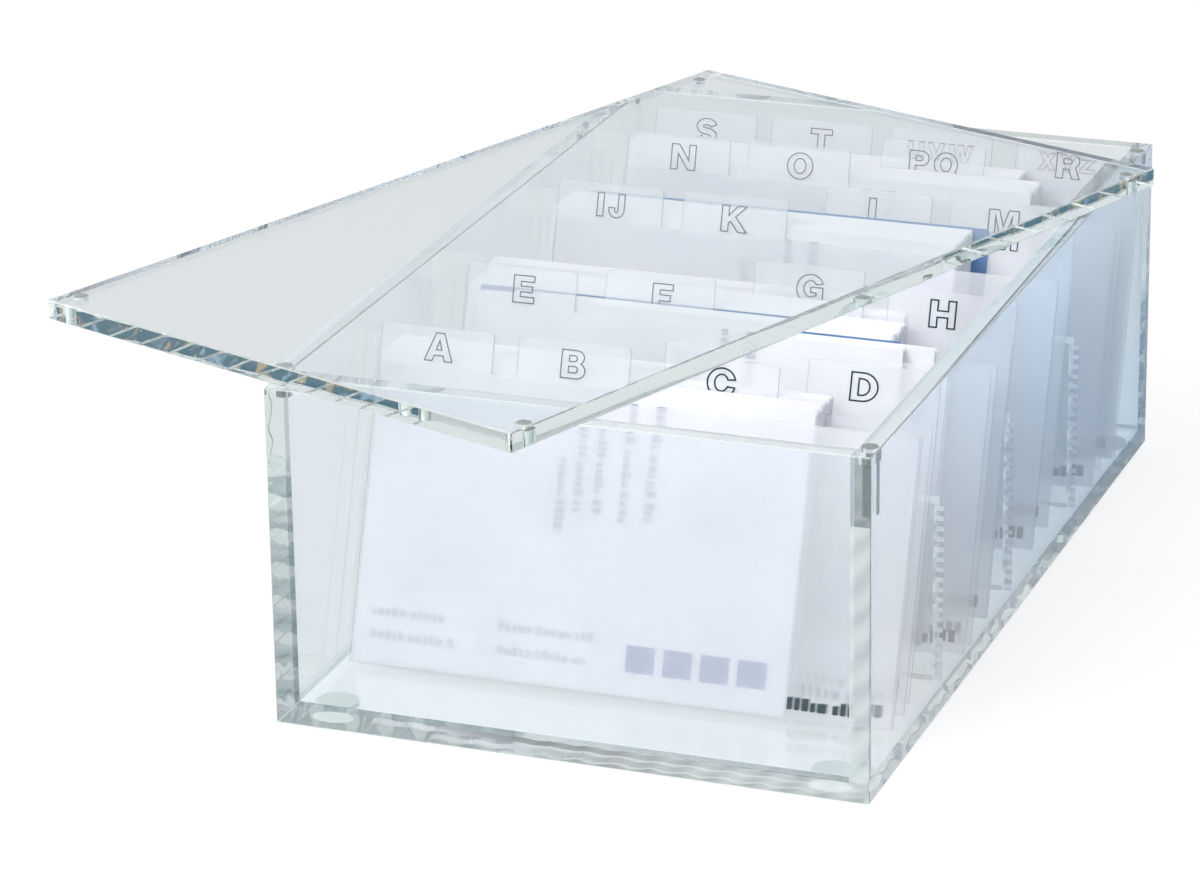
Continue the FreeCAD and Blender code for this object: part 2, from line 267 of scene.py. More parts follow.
sideways = node(tree, "VectorMath", {0: direction, 1: BLUE_SIDE}, operation="DOT_PRODUCT")
light = ramp(
    tree, sideways.outputs["Value"], (0.0, (0.92, 0.915, 0.915)), (0.5, (0.08, 0.20, 0.42))
)
colour = mix_colour(tree, through_glass(tree), light, view)
background = node(tree, "Background", {"Color": colour, "Strength": 1.0})
node(tree, "OutputWorld", {"Surface": background.outputs[0]})
print("bounces", scene.cycles.max_bounces)

# %% lamps
# Name, place, size in metres, power in watts and colour.
LAMPS = (
    ("key_lamp", (-0.7, -0.8, 0.9), 0.7, 8.2, (1.0, 1.0, 1.0)),
    ("fill_lamp", (0.9, -0.8, 0.8), 0.8, 0.5, (0.6, 0.8, 1.0)),
)
for name, place, size, power, tint in LAMPS:
    data = bpy.data.lights.new(name, "AREA")
    data.energy = power
    data.size = size
    data.color = tint
    lamp = bpy.data.objects.new(name, data)
    lamp.location = place
    lamp.rotation_euler = (-Vector(place)).to_track_quat("-Z", "Y").to_euler()
    scene.collection.objects.link(lamp)
    print(name, power, "W")

# %% [markdown]
# ## Table
#
# The box stands on a white table. More light would turn it white, but it would bleach the cards
# as well, so the table is an ordinary white surface for light, and where the camera sees it,
# straight or through the plastic, a dark one with a glow of its own. The dark share still takes
# the shadow. Light that the plates pipe down is painted into the glow, stronger under the walls
# and a little stronger inside the box. Painted shade makes the glow bluer where mirror faces show
# the rear of the table, and dimmer and bluer where it is seen through many sheets.

# %% table
TABLE_SIZE = 6.0
TABLE_DROP = 0.2 * MM
GLOW = 0.60
GLOW_SEEN = 0.19
GLOW_UNDER_WALLS = 0.28
GLOW_INSIDE = 0.15
WALL_REACH = 2.2 * MM
bpy.ops.mesh.primitive_plane_add(size=TABLE_SIZE, location=(0, 0, -TABLE_DROP))
table = bpy.context.object
table.name = "table"
bpy.ops.object.transform_apply(location=True)
white_table = new_material("white_table")
tree = white_table.node_tree
tone = ramp(tree, noise(tree, 40.0), (0.3, (0.79, 0.79, 0.80)), (0.7, (0.81, 0.81, 0.82)))
plain_table = node(tree, "BsdfDiffuse", {"Color": tone})
shaded = node(tree, "BsdfDiffuse", {"Color": (0.22, 0.22, 0.23, 1)})
place = split(tree, node(tree, "TexCoord").outputs["Object"])
aside = maths(tree, "SUBTRACT", maths(tree, "ABSOLUTE", place["X"]), HALF_WIDTH - WALL / 2)
along = maths(tree, "SUBTRACT", maths(tree, "ABSOLUTE", place["Y"]), HALF_LENGTH - WALL / 2)
outwards = maths(tree, "MAXIMUM", aside, along)
under_wall = maths(tree, "LESS_THAN", maths(tree, "ABSOLUTE", outwards), WALL_REACH)
inside = maths(tree, "LESS_THAN", outwards, 0.0)
# Painted light: a stronger glow under the walls and inside the box, for light that the plates pipe
# down.
piped = maths(
    tree,
    "MAXIMUM",
    product(tree, under_wall, GLOW_UNDER_WALLS),
    product(tree, inside, GLOW_INSIDE),
)
seen = node(tree, "LightPath").outputs["Is Camera Ray"]
extra = node(tree, "Mix", {0: seen, 2: piped, 3: GLOW_SEEN}).outputs[0]
# Painted shade: bluer where mirror faces show the rear of the table, dimmer and bluer through many
# sheets.
rearward = span(tree, place["Y"], -20 * MM, 110 * MM)
blue = mix_colour(
    tree, product(tree, mirrored_only(tree), rearward), painted_far_shade(tree), (0.42, 0.64, 0.92, 1)
)
glow = node(tree, "Emission", {"Color": blue, "Strength": maths(tree, "ADD", extra, GLOW)})
bright = node(tree, "AddShader", {0: shaded.outputs[0], 1: glow.outputs[0]})
shown = maths(tree, "MAXIMUM", seen, through_glass(tree))
surface(tree, mix_shader(tree, shown, plain_table, bright))
table.data.materials.append(white_table)
print("table", TABLE_SIZE, "m wide")

# %% [markdown]
# ## Clear acrylic
#
# The faces of the sheet are cast smooth, and the sawn edges are polished afterwards, which
# leaves a slow ripple along them. The ripple could be modelled, but it is only hundredths of a
# millimetre deep, so a wave texture bends the normal on the edges and nowhere else. The front
# edges at the right hand are polished less well below their top, so scatter is mixed in there.
# Lamps pass straight through for shadows, as they do in the thin real sheet.
#
# First come the masks that say where a finish lies. They could be painted or given by material
# slots, but each plate's place follows from its measures, so sums on the position do.

# %% places on the acrylic
PAD_X = HALF_WIDTH - 9 * MM
PAD_Y = HALF_LENGTH - 9 * MM
PAD_RADIUS = 4 * MM


def lid_edges(tree, coordinates):
    """The lid's edges are whatever doesn't face up or down."""
    normal = split(tree, coordinates["Normal"])
    return maths(tree, "LESS_THAN", maths(tree, "ABSOLUTE", normal["Z"]), 0.5)


def box_edges(tree, coordinates):
    """The box's edges are the bottom plate's skirt and the ends of the side walls."""
    place = split(tree, coordinates["Object"])
    normal = split(tree, coordinates["Normal"])
    upright = maths(tree, "LESS_THAN", maths(tree, "ABSOLUTE", normal["Z"]), 0.5)
    skirt = product(tree, maths(tree, "LESS_THAN", place["Z"], FLOOR), upright)
    aside = maths(tree, "ABSOLUTE", place["X"])
    outer = maths(tree, "GREATER_THAN", aside, HALF_WIDTH - WALL)
    facing = maths(tree, "GREATER_THAN", maths(tree, "ABSOLUTE", normal["Y"]), 0.5)
    return maths(tree, "MAXIMUM", skirt, product(tree, outer, facing))


def pad_spots(tree, coordinates):
    """The round places under the corners where the foot pads are stuck on."""
    place = split(tree, coordinates["Object"])
    across = maths(tree, "SUBTRACT", maths(tree, "ABSOLUTE", place["X"]), PAD_X)
    along = maths(tree, "SUBTRACT", maths(tree, "ABSOLUTE", place["Y"]), PAD_Y)
    away = node(tree, "CombineXYZ", {"X": across, "Y": along}).outputs[0]
    radius = node(tree, "VectorMath", {0: away}, operation="LENGTH").outputs["Value"]
    under = maths(tree, "LESS_THAN", place["Z"], BOTTOM_LOW.z + EASE / 2)
    return product(tree, under, maths(tree, "LESS_THAN", radius, PAD_RADIUS))


def wall_tint_and_painted_shade(tree, coordinates):
    """Near-white tint; painted shade makes the right wall's rear bluer and its rear top greyer."""
    place = split(tree, coordinates["Object"])
    right = maths(tree, "GREATER_THAN", place["X"], HALF_WIDTH - 1.2 * WALL)
    share = product(tree, right, span(tree, place["Y"], -65 * MM, 10 * MM))
    far = span(tree, place["Y"], 38 * MM, 62 * MM)
    high = span(tree, place["Z"], 14 * MM, 44 * MM)
    blue = mix_colour(tree, product(tree, far, high), (0.80, 0.91, 0.99, 1), (0.73, 0.80, 0.81, 1))
    return mix_colour(tree, share, (0.925, 0.965, 0.97, 1), blue)


print("pads at", round(PAD_X * 1000, 1), "and", round(PAD_Y * 1000, 1), "mm from the middle")

# %% clear acrylic
# A diagonal wave texture of scale s repeats every DIAGONAL_WAVE / s.
DIAGONAL_WAVE = 0.628
SHEET_TINT = (0.935, 0.975, 0.98, 1)
EDGE_TINT = (0.86, 0.93, 0.91, 1)
CLEAR_ABOVE = RIM - 13 * MM
# Upward share of the normal on an eased corner, and how far it may be off.
BEVEL_SLOPE = (0.63, 0.32)


def clear_acrylic(name, edges, pitch, depth, satin=0.0, bonded=None, sheet=None):
    """Clear acrylic, with a ripple of this pitch and depth on its edges.

    satin is the share of scatter on the less polished edges. edges, bonded and sheet give the
    mask of the edges, the mask of what is stuck on, and the sheet's tint with any painted shade.
    """
    material = new_material(name)
    tree = material.node_tree
    coordinates = node(tree, "TexCoord").outputs
    place = split(tree, coordinates["Object"])
    normal = split(tree, coordinates["Normal"])
    leaning_right = node(
        tree, "VectorMath", {0: coordinates["Object"], 1: (-1, 1, 1)}, operation="MULTIPLY"
    )
    ripple = node(
        tree,
        "TexWave",
        {
            "Vector": leaning_right.outputs[0],
            "Scale": DIAGONAL_WAVE / pitch,
            "Distortion": 1.2,
            "Detail": 0.0,
            "Detail Scale": 1.0,
        },
        wave_type="BANDS",
        bands_direction="DIAGONAL",
    ).outputs["Fac"]
    milled = edges(tree, coordinates)
    worn = product(
        tree,
        span(tree, place["X"], -10 * MM, 30 * MM, satin / 3, satin),
        maths(tree, "LESS_THAN", normal["Y"], -0.5),
        maths(tree, "LESS_THAN", place["Z"], CLEAR_ABOVE),
        maths(tree, "MULTIPLY_ADD", ripple, 0.3, 0.9),
    )
    height = product(tree, ripple, milled)
    bump = node(tree, "Bump", {"Height": height, "Strength": 1.0, "Distance": depth})
    tint_and_shade = sheet(tree, coordinates) if sheet else SHEET_TINT
    glass = node(
        tree,
        "BsdfPrincipled",
        {
            "Base Color": mix_colour(tree, milled, tint_and_shade, EDGE_TINT),
            "Roughness": 0.0,
            "IOR": 1.49,
            "Transmission Weight": 1.0,
            "Normal": bump.outputs[0],
        },
    )
    bevel = maths(tree, "COMPARE", maths(tree, "ABSOLUTE", normal["Z"]), *BEVEL_SLOPE)
    scraped = node(tree, "BsdfDiffuse", {"Color": (0.80, 0.85, 0.83, 1)})
    scatter = maths(tree, "MAXIMUM", product(tree, bevel, 0.6), product(tree, milled, worn))
    solid = mix_shader(tree, scatter, glass, scraped)
    if bonded:
        solid = mix_shader(tree, bonded(tree, coordinates), solid, scraped)
    clear = node(tree, "BsdfTransparent", {"Color": (0.945, 0.945, 0.945, 1)})
    shadow = node(tree, "LightPath").outputs["Is Shadow Ray"]
    surface(tree, mix_shader(tree, shadow, solid, clear))
    return material


LID_RIPPLE = (20 * MM, 0.010 * MM)
BOX_RIPPLE = (6.8 * MM, 0.013 * MM)
acrylic_lid = clear_acrylic("acrylic_lid", lid_edges, *LID_RIPPLE)
# The box's right wall carries painted shade, darker and bluer towards its rear.
acrylic_box = clear_acrylic(
    "acrylic_box", box_edges, *BOX_RIPPLE, satin=0.55, bonded=pad_spots, sheet=wall_tint_and_painted_shade
)
print("ripple every", round(BOX_RIPPLE[0] * 1000, 1), "mm on the box")

# %% [markdown]
# ## Modelling helpers
#
# Each piece starts as a primitive at its size and place and is worked in edit mode. Operators
# act on all that is selected, so everything is deselected first, and faces and edges are then
# picked by their place or direction. Picking by number would be shorter, but the numbers change
# with every new cut.

# %% modelling helpers


def deselect():
    """Select nothing."""
    bpy.ops.object.select_all(action="DESELECT")


def activate(piece):
    """Select one object alone and make it active."""
    deselect()
    piece.select_set(True)
    bpy.context.view_layer.objects.active = piece


def add_block(name, lowest, highest):
    """Cube primitive between two corners, with its place in its mesh."""
    deselect()
    lowest, highest = Vector(lowest), Vector(highest)
    bpy.ops.mesh.primitive_cube_add(size=1.0, location=(lowest + highest) / 2)
    piece = bpy.context.object
    piece.name = name
    piece.scale = highest - lowest
    bpy.ops.object.transform_apply(location=True, rotation=True, scale=True)
    return piece


def select_parts(piece, kind, chosen):
    """In edit mode, select the faces or edges for which chosen(part) is true."""
    bpy.ops.mesh.select_mode(type=kind)
    bpy.ops.mesh.select_all(action="DESELECT")
    mesh = bmesh.from_edit_mesh(piece.data)
    for part in mesh.faces if kind == "FACE" else mesh.edges:
        if chosen(part):
            part.select = True
    bmesh.update_edit_mesh(piece.data)


def combine(piece, tool, operation):
    """Join a tool to a piece, or cut it out, and delete the tool."""
    activate(piece)
    modifier = piece.modifiers.new(operation, "BOOLEAN")
    modifier.operation = operation
    modifier.object = tool
    modifier.solver = "EXACT"
    bpy.ops.object.modifier_apply(modifier=modifier.name)
    bpy.data.objects.remove(tool)


# %% [markdown]
# ## The box
#
# The real box is cemented from separate plates, and a good cement joint is as clear as the
# plates. Separate blocks that touch would show false mirrors where they meet, so the box is
# modelled as one clear body: a block, its top face inset by the wall and pushed down to the
# floor, the free edges eased by a narrow bevel, and the three partitions joined on.

# %% box body
tray = add_block("acrylic_box", BOTTOM_LOW, (HALF_WIDTH, HALF_LENGTH, RIM))
bpy.ops.object.mode_set(mode="EDIT")
select_parts(tray, "FACE", lambda face: face.normal.z > 0.5)
bpy.ops.mesh.inset(thickness=WALL)
bpy.ops.mesh.extrude_region_move(TRANSFORM_OT_translate={"value": (0, 0, FLOOR - RIM)})


def free_edge(edge):
    """Rims, the outer lower edges and the outer upright corners."""
    start, end = (vertex.co for vertex in edge.verts)
    middle, along = (start + end) / 2, (end - start).normalized()
    corner = abs(middle.x) > HALF_WIDTH - EASE and abs(middle.y) > HALF_LENGTH - EASE
    ends = middle.z > RIM - EASE or middle.z < BOTTOM_LOW.z + EASE
    straight = max(abs(along.x), abs(along.y)) > 0.99
    return corner or (ends and straight)


select_parts(tray, "EDGE", free_edge)
bpy.ops.mesh.bevel(offset=EASE, segments=2, profile=0.5)
bpy.ops.object.mode_set(mode="OBJECT")
# The partitions reach a little way into the floor, so that the join leaves no gap.
ROOTED = 1.0 * MM
PARTITIONS = ("front_partition", "middle_partition", "rear_partition")
for name in PARTITIONS:
    low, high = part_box(name)
    combine(tray, add_block(name + "_tool", (low[0], low[1], FLOOR - ROOTED), high), "UNION")
print("box body", len(tray.data.polygons), "faces")

# %% [markdown]
# ## Cement seams
#
# Good cement is clear, but its plane still shows as a faint grey strip seen edge on, and at the
# ends of the partitions it has set in a row of cloudy beads. Solid seams would cut the clear
# body up again, so thin planes inside it carry the finish: a haze that grows as the plane turns
# edge on, and bands for the beads.

# %% cement finishes
# Bands of scale s repeat every BAND_WAVE / s.
BAND_WAVE = 0.314
BEAD_PITCH = 2.0 * MM
cement = new_material("cement")
tree = cement.node_tree
tone = ramp(
    tree, noise(tree, 300.0, 3.0), (0.3, (0.30, 0.40, 0.43)), (0.7, (0.48, 0.56, 0.58))
)
haze = node(tree, "BsdfDiffuse", {"Color": tone})
clear = node(tree, "BsdfTransparent", {"Color": (0.95, 0.97, 0.97, 1)})
facing = node(tree, "LayerWeight", {"Blend": 0.5}).outputs["Facing"]
surface(tree, mix_shader(tree, span(tree, facing, 0.3, 0.85, 0.0, 0.46), clear, haze))
beads = new_material("cement_beads")
tree = beads.node_tree
position = node(tree, "TexCoord").outputs["Object"]
bands = node(
    tree,
    "TexWave",
    {"Vector": position, "Scale": BAND_WAVE / BEAD_PITCH, "Distortion": 1.0, "Detail": 1.0},
    wave_type="BANDS",
    bands_direction="Z",
).outputs["Fac"]
cream = node(tree, "BsdfDiffuse", {"Color": (0.97, 0.96, 0.90, 1)})
gap = node(tree, "BsdfTransparent", {"Color": (0.68, 0.76, 0.85, 1)})
where = product(tree, maths(tree, "GREATER_THAN", bands, 0.55), 0.85)
surface(tree, mix_shader(tree, where, gap, cream))
print("beads every", round(BEAD_PITCH * 1000, 1), "mm")

# %% joining and finishing


def join(pieces, name):
    """Join several meshes into one piece."""
    deselect()
    for piece in pieces:
        piece.select_set(True)
    bpy.context.view_layer.objects.active = pieces[0]
    if len(pieces) > 1:
        bpy.ops.object.join()
    pieces[0].name = name
    return pieces[0]


def finish_piece(piece, material, body, *nodes, slot=None):
    """Give a piece its finish and its body, and hide the nodes that it stands for."""
    piece.data.materials.clear()
    piece.data.materials.append(material)
    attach(piece, body)
    if nodes:
        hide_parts(*nodes)


# %% cement seams
SEAM_INSET = 0.3 * MM
INNER_X = HALF_WIDTH - WALL
WALL_X = HALF_WIDTH - WALL / 2
WALL_Y = HALF_LENGTH - WALL / 2
STRIP = WALL - 2 * SEAM_INSET


def add_seam(middle, size, turned=False):
    """Plane across a joint: turned upright for the corners, or flat for the foot of a wall."""
    deselect()
    rotation = (0, math.radians(90), 0) if turned else (0, 0, 0)
    bpy.ops.mesh.primitive_plane_add(size=1.0, location=middle, rotation=rotation)
    seam = bpy.context.object
    seam.scale = (*size, 1)
    bpy.ops.object.transform_apply(location=True, rotation=True, scale=True)
    return seam


upright = (RIM - FLOOR - 2 * SEAM_INSET, STRIP)
crossing = (2 * INNER_X - 2 * SEAM_INSET, STRIP)
running = (STRIP, 2 * HALF_LENGTH - 2 * SEAM_INSET)
seams = [
    add_seam((x, y, (FLOOR + RIM) / 2), upright, turned=True)
    for x, y in ((-INNER_X, -WALL_Y), (INNER_X, -WALL_Y), (INNER_X, WALL_Y))
]
seams += [add_seam((0, y, FLOOR), crossing) for y in (-WALL_Y, WALL_Y)]
seams += [add_seam((x, 0, FLOOR), running) for x in (-WALL_X, WALL_X)]
print("seams", len(seams))
finish_piece(join(seams, "cement_seams"), cement, "box", slot="clear_acrylic")

# %% beads at the ends of the partitions
BEAD_WIDTH = 1.5 * MM
BEAD_X = INNER_X - 1.0 * MM
BEAD_FORWARD = 0.05 * MM
ends = []
for name in PARTITIONS:
    low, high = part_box(name)
    for x in (-BEAD_X, BEAD_X):
        size = (BEAD_WIDTH, high[2] - FLOOR - 2 * SEAM_INSET)
        bead = add_seam((x, (FLOOR + high[2]) / 2, 0), size)
        raised = Matrix.Rotation(math.radians(90), 4, "X")
        bead.data.transform(Matrix.Translation((0, low[1] - BEAD_FORWARD, 0)) @ raised)
        ends.append(bead)
print("rows of beads", len(ends))
finish_piece(join(ends, "partition_seams"), beads, "box", slot="clear_acrylic")

# %% [markdown]
# ## Magnets
#
# Small disc magnets sit in blind holes near the ends of the side walls and in the lid. Each is
# a cylinder with its rims bevelled, modelled once and copied. Holes could be left out where a
# disc fills them, but clear walls show the bore, so the rim is drilled with a slightly wider
# cylinder. The lid's discs are seen through the drilled end of their holes, and their paler
# nickel is painted light. Under the front right disc a dark steel rod sits in the solid wall
# below the hole, as painted shade.

# %% holes in the rim
MAGNET_X = WALL_X
MAGNET_Y = HALF_LENGTH - 5.5 * MM
MAGNET_RADIUS = 1.5 * MM
MAGNET_LENGTH = 2.5 * MM
HOLE_RADIUS = 1.55 * MM
QUARTERS = [(x, y) for x in (-MAGNET_X, MAGNET_X) for y in (-MAGNET_Y, MAGNET_Y)]


def add_cylinder(name, radius, depth, middle, vertices=32):
    """Upright cylinder primitive, with its place in its mesh."""
    deselect()
    bpy.ops.mesh.primitive_cylinder_add(
        vertices=vertices, radius=radius, depth=depth, location=middle
    )
    piece = bpy.context.object
    piece.name = name
    bpy.ops.object.transform_apply(location=True)
    return piece


for x, y in QUARTERS:
    cutter = add_cylinder("cutter", HOLE_RADIUS, 2 * MAGNET_LENGTH, (x, y, RIM))
    combine(tray, cutter, "DIFFERENCE")
print("drilled box body", len(tray.data.polygons), "faces")

# %% nickel


def nickel_finish(name, dark, light, metallic):
    """Scuffed nickel plate."""
    material = new_material(name)
    tree = material.node_tree
    scuffs = noise(tree, 2500.0, 4.0)
    values = {
        "Base Color": ramp(tree, scuffs, (0.3, dark), (0.7, light)),
        "Metallic": metallic,
        "Roughness": span(tree, scuffs, 0.0, 1.0, 0.2, 0.45),
    }
    surface(tree, node(tree, "BsdfPrincipled", values))
    return material


nickel = nickel_finish("nickel", (0.28, 0.30, 0.29), (0.40, 0.43, 0.41), 0.4)
# A paler copy of the nickel for the lid's discs: painted light.
nickel_painted_pale = nickel_finish("nickel_painted_pale", (0.84, 0.87, 0.85), (0.93, 0.95, 0.93), 0.05)
# Dark steel for the rod under the front right disc: painted shade.
painted_shade_steel = nickel_finish("painted_shade_steel", (0.24, 0.30, 0.32), (0.36, 0.42, 0.44), 0.9)
print("metals nickel, nickel behind plastic and steel")

# %% one disc
MAGNET_BEVEL = 0.15 * MM


def bevel_edges(piece, chosen, width, segments=2):
    """Bevel the edges for which chosen(edge) is true."""
    activate(piece)
    bpy.ops.object.mode_set(mode="EDIT")
    select_parts(piece, "EDGE", chosen)
    bpy.ops.mesh.bevel(offset=width, segments=segments, profile=0.5)
    bpy.ops.object.mode_set(mode="OBJECT")


def smooth(piece, angle=35.0):
    """Smooth shading, broken only at edges that are sharper than the angle."""
    activate(piece)
    bpy.ops.object.shade_smooth_by_angle(angle=math.radians(angle))


magnet = add_cylinder("magnet", MAGNET_RADIUS, MAGNET_LENGTH, (0, 0, MAGNET_LENGTH / 2))
bevel_edges(
    magnet, lambda edge: abs(edge.verts[0].co.z - edge.verts[1].co.z) < EASE, MAGNET_BEVEL
)
smooth(magnet)
print("disc", len(magnet.data.polygons), "faces")

# %% discs in the rim


def copy_piece(source, name, matrix):
    """Copy of a piece with its own mesh, moved by a matrix."""
    made = source.copy()
    made.data = source.data.copy()
    made.name = name
    made.data.transform(matrix)
    scene.collection.objects.link(made)
    return made


def four_discs(name, place):
    """A disc at each corner, as one piece."""
    made = [copy_piece(magnet, "disc", place @ Matrix.Translation((x, y, 0))) for x, y in QUARTERS]
    return join(made, name)


in_rim = Matrix.Translation((0, 0, RIM - MAGNET_LENGTH))
finish_piece(four_discs("rim_discs", in_rim), nickel, "box", "rim_magnets", slot="magnet")
print("rim discs", len(QUARTERS))

# %% dark rod of painted shade
SHADE_ROD_RADIUS = 0.75 * MM
SHADE_ROD_LENGTH = 9.5 * MM
SHADE_ROD_TOP = RIM - MAGNET_LENGTH - 0.3 * MM
shade_rod_middle = (MAGNET_X, -MAGNET_Y, SHADE_ROD_TOP - SHADE_ROD_LENGTH / 2)
shade_rod = add_cylinder("painted_shade_rod", SHADE_ROD_RADIUS, SHADE_ROD_LENGTH, shade_rod_middle, vertices=24)
smooth(shade_rod)
finish_piece(shade_rod, painted_shade_steel, "box", slot="magnet")
print("shade_rod", round(SHADE_ROD_LENGTH * 1000, 1), "mm long")

# %% discs in the lid
LID_TURN = -20.1
lid_low, lid_high = corners("lid_plate")
lid_middle = (lid_low + lid_high) / 2
in_lid = Matrix.Translation((lid_middle.x, lid_middle.y, lid_low.z))
in_lid = in_lid @ Matrix.Rotation(math.radians(LID_TURN), 4, "Z")
finish_piece(four_discs("lid_discs", in_lid), nickel_painted_pale, "lid", "lid_magnets", slot="magnet")
bpy.data.objects.remove(magnet)
print("lid discs", len(QUARTERS))

# %% finish of the box body
finish_piece(
    tray, acrylic_box, "box", "bottom_plate", "front_wall", "rear_wall", "left_wall", "right_wall",
    *PARTITIONS, slot="clear_acrylic",
)
print("box body stands for", 5 + len(PARTITIONS), "plates")

# %% [markdown]
# ## Lid and feet
#
# The lid is a plain cut plate, and the feet are flat round pads of soft clear plastic. Both
# could be modelled again, but their CAD shapes are already right, so the shapes stay and only
# the finish is new.

# %% lid and feet


def repaint(name, material):
    """Give a CAD node a better material."""
    piece = frame["nodes"][name]
    piece.data.materials.clear()
    piece.data.materials.append(material)


soft_pad = new_material("soft_pad")
tree = soft_pad.node_tree
tone = ramp(tree, noise(tree, 900.0, 3.0), (0.3, (0.86, 0.88, 0.89)), (0.7, (0.93, 0.95, 0.96)))
pad = {"Base Color": tone, "Roughness": 0.25, "IOR": 1.4, "Transmission Weight": 0.35}
surface(tree, node(tree, "BsdfPrincipled", pad))
repaint("lid_plate", acrylic_lid)
repaint("foot_pads", soft_pad)
print("CAD shapes kept for lid_plate and foot_pads")

# %% [markdown]
# ## Index dividers
#
# The dividers are cut from frosted film: light comes through, but a shape shows only where it
# nearly touches the film. The CAD sheets already have the right outline, so they keep their
# mesh. A rough, weakly bending transmission over a little white scatter gives the frost.

# %% frosted film
frosted_film = new_material("frosted_film")
tree = frosted_film.node_tree
bump = node(
    tree, "Bump", {"Height": noise(tree, 3000.0), "Strength": 0.3, "Distance": 0.01 * MM}
)
tone = ramp(tree, noise(tree, 60.0), (0.3, (0.945, 0.95, 0.965)), (0.7, (0.965, 0.97, 0.98)))
frost = node(
    tree,
    "BsdfPrincipled",
    {
        "Base Color": tone,
        "Roughness": 0.25,
        "IOR": 1.15,
        "Transmission Weight": 0.84,
        "Normal": bump.outputs[0],
    },
)
normal = split(tree, node(tree, "TexCoord").outputs["Normal"])
aside = maths(tree, "ABSOLUTE", normal["X"])
cut = maths(tree, "GREATER_THAN", maths(tree, "MAXIMUM", aside, normal["Z"]), 0.6)
side_cut = maths(tree, "GREATER_THAN", aside, 0.6)
cut_tone = mix_colour(tree, side_cut, (0.42, 0.46, 0.52, 1), (0.20, 0.26, 0.31, 1))
through = node(tree, "BsdfTranslucent", {"Color": mix_colour(tree, cut, tone, cut_tone)})
share = maths(
    tree, "ADD", maths(tree, "MULTIPLY_ADD", cut, 0.6, 0.1), product(tree, side_cut, 0.25)
)
film = mix_shader(tree, share, frost, through)
thin = node(tree, "BsdfTransparent", {"Color": (0.87, 0.86, 0.88, 1)})
shadow = node(tree, "LightPath").outputs["Is Shadow Ray"]
surface(tree, mix_shader(tree, shadow, film, thin))

# %% dividers
# Each divider's tab is in one of four columns, and carries these letters.
DIVIDERS = {
    "divider_a": (0, "A"), "divider_b": (1, "B"), "divider_c": (2, "C"), "divider_d": (3, "D"),
    "divider_e": (0, "E"), "divider_f": (1, "F"), "divider_g": (2, "G"), "divider_h": (3, "H"),
    "divider_ij": (0, "IJ"), "divider_k": (1, "K"), "divider_l": (2, "L"),
    "divider_m": (3, "M"), "divider_n": (0, "N"), "divider_o": (1, "O"),
    "divider_pq": (2, "PQ"), "divider_r": (3, "R"), "divider_s": (0, "S"),
    "divider_t": (1, "T"), "divider_uvw": (2, "UVW"), "divider_xyz": (3, "XYZ"),
}
for name in DIVIDERS:
    repaint(name, frosted_film)
print("dividers", len(DIVIDERS))

# %% [markdown]
# ## How a sheet leans
#
# Each divider and pack turns about its lower front edge, which its joint gives. All the sheets
# of a compartment lean alike. Every piece on a sheet could be turned by hand, but one matrix
# carries anything drawn flat on an upright sheet to its place on the leaning one.

# %% lean of a sheet
LEANS = {
    18.5: "divider_a divider_b cards_b divider_c cards_c divider_d",
    17.5: "divider_e cards_e cards_e_aside divider_f blue_card_f cards_f "
    "divider_g divider_h cards_h",
    18.0: "divider_ij divider_k cards_k blue_card_k divider_l divider_m",
}
REAR_LEAN = 16.0


def lean_of(name):
    """Lean of a sheet, in radians."""
    for degrees, names in LEANS.items():
        if name in names.split():
            return math.radians(degrees)
    return math.radians(REAR_LEAN)


def leaning(name, left):
    """Matrix from a sheet's own plane (x along, z up, front at y 0) to its place."""
    turn = Matrix.Rotation(-lean_of(name), 4, "X")
    return Matrix.Translation((left, *JOINTS[name + "_tilt"]["pos_m"][1:])) @ turn


print("leans", *LEANS, REAR_LEAN, "degrees")

# %% [markdown]
# ## Index letters
#
# The tabs are printed with hollow capitals, a thin line round a bold letter. A font could give
# them, but the built-in one is light and swelling it spoils its corners, so each capital is
# drawn here as closed outlines of straight runs and arcs, one unit high. A round bevel
# turns the outlines into thin wires, which are then pressed nearly flat, as ink is.

# %% letter outlines


def arc(x, z, across, up, start, end, steps=10):
    """Points along part of an ellipse, with angles in degrees."""
    angles = [math.radians(start + (end - start) * step / steps) for step in range(steps + 1)]
    return [(x + across * math.cos(angle), z + up * math.sin(angle)) for angle in angles]


def swept(points, half):
    """Closed outline at a distance to both sides of a line through points."""
    sides = ([], [])
    for index, (x, z) in enumerate(points):
        before = points[max(index - 1, 0)]
        after = points[min(index + 1, len(points) - 1)]
        along = Vector((after[0] - before[0], after[1] - before[1])).normalized()
        sides[0].append((x - along.y * half, z + along.x * half))
        sides[1].append((x + along.y * half, z - along.x * half))
    return sides[0] + sides[1][::-1]


